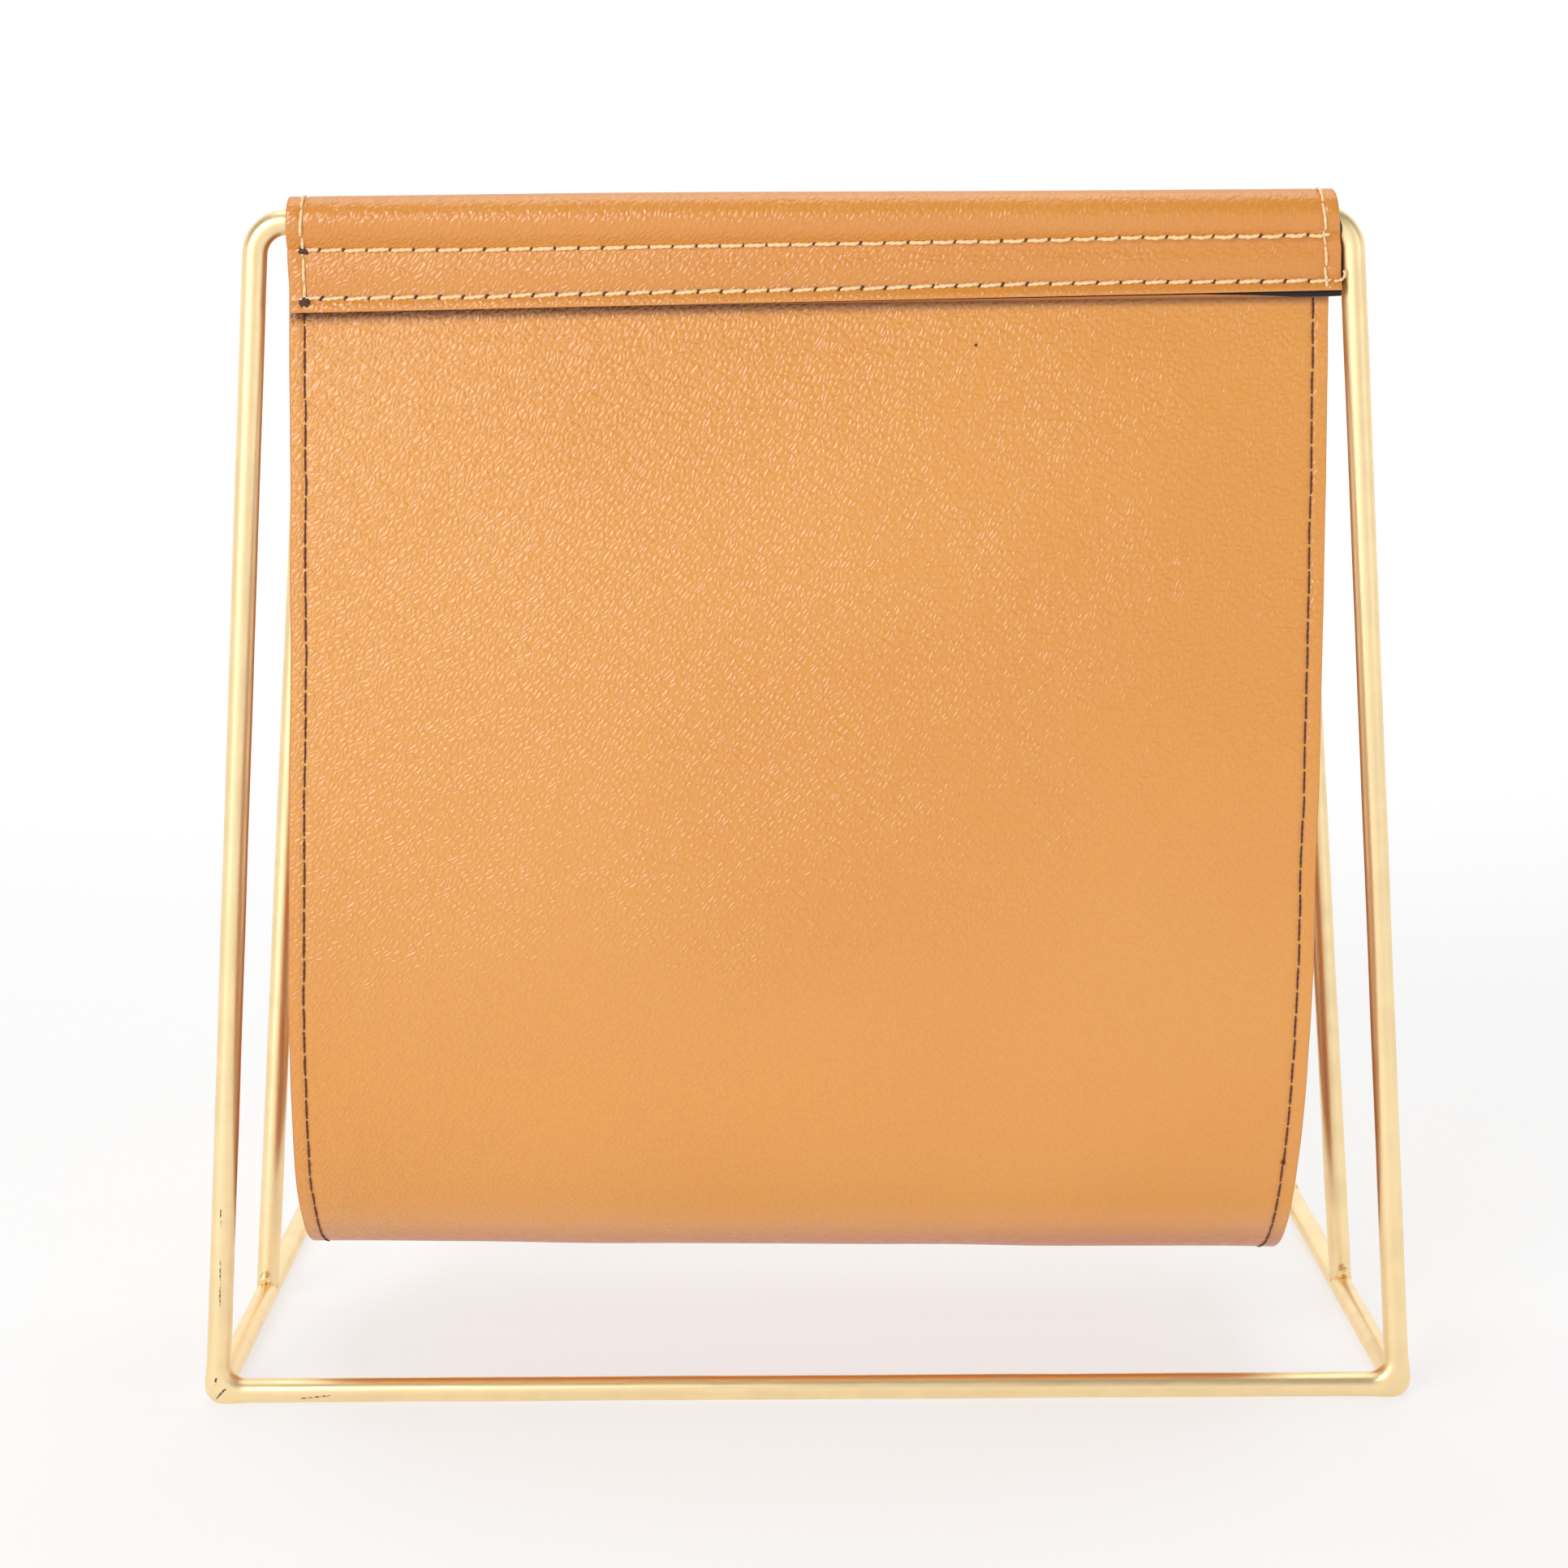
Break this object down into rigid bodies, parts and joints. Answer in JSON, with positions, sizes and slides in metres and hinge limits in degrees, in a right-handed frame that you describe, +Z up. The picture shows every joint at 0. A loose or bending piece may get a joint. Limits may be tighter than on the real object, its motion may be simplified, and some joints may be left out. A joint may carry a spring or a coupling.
{
  "type": "magazine rack",
  "caption": "Free-standing magazine rack: a welded frame of bent gold rod carrying a stitched leather sling that hangs in a deep U between two top bars.",
  "frame": {"origin": "on the floor, in the middle of the rack's outline seen from above", "axes": "+X to the right along the top bars, +Y from the front ring towards the rear rail, +Z up"},
  "size_m": [0.352, 0.2242, 0.3485],
  "materials": {
    "gold_rod": "satin gold plating on steel rod, with a soft sheen",
    "weld_bead": "weld metal ground smooth and plated with the rods",
    "outer_leather": "tan faux leather with a fine pebble grain, semi-matt",
    "inner_leather": "tan faux leather with a fine pebble grain, semi-matt",
    "dark_thread": "dark brown waxed sewing thread",
    "cream_thread": "cream waxed sewing thread"
  },
  "bodies": {
    "frame": {"front_ring": "gold_rod", "rear_rail": "gold_rod", "rear_hoop": "gold_rod", "left_side_rail": "gold_rod", "right_side_rail": "gold_rod", "front_left_corner_weld": "weld_bead", "front_right_corner_weld": "weld_bead", "rear_left_corner_weld": "weld_bead", "rear_right_corner_weld": "weld_bead", "left_foot_weld": "weld_bead", "right_foot_weld": "weld_bead"},
    "sling": {"outer_leather": "outer_leather", "inner_leather": "inner_leather", "left_seam_outer_thread": "dark_thread", "right_seam_outer_thread": "dark_thread", "left_seam_inner_thread": "cream_thread", "right_seam_inner_thread": "cream_thread", "front_hem_upper_thread": "cream_thread", "front_hem_upper_bobbin_thread": "dark_thread", "front_hem_lower_thread": "cream_thread", "front_hem_lower_bobbin_thread": "dark_thread", "rear_hem_upper_thread": "cream_thread", "rear_hem_upper_bobbin_thread": "dark_thread", "rear_hem_lower_thread": "cream_thread", "rear_hem_lower_bobbin_thread": "dark_thread"}
  },
  "joints": [
    {"name": "sling_shift", "type": "slide", "parent": "frame", "child": "sling", "axis": [1, 0, 0], "range_m": [-0.0048, 0]}
  ]
}
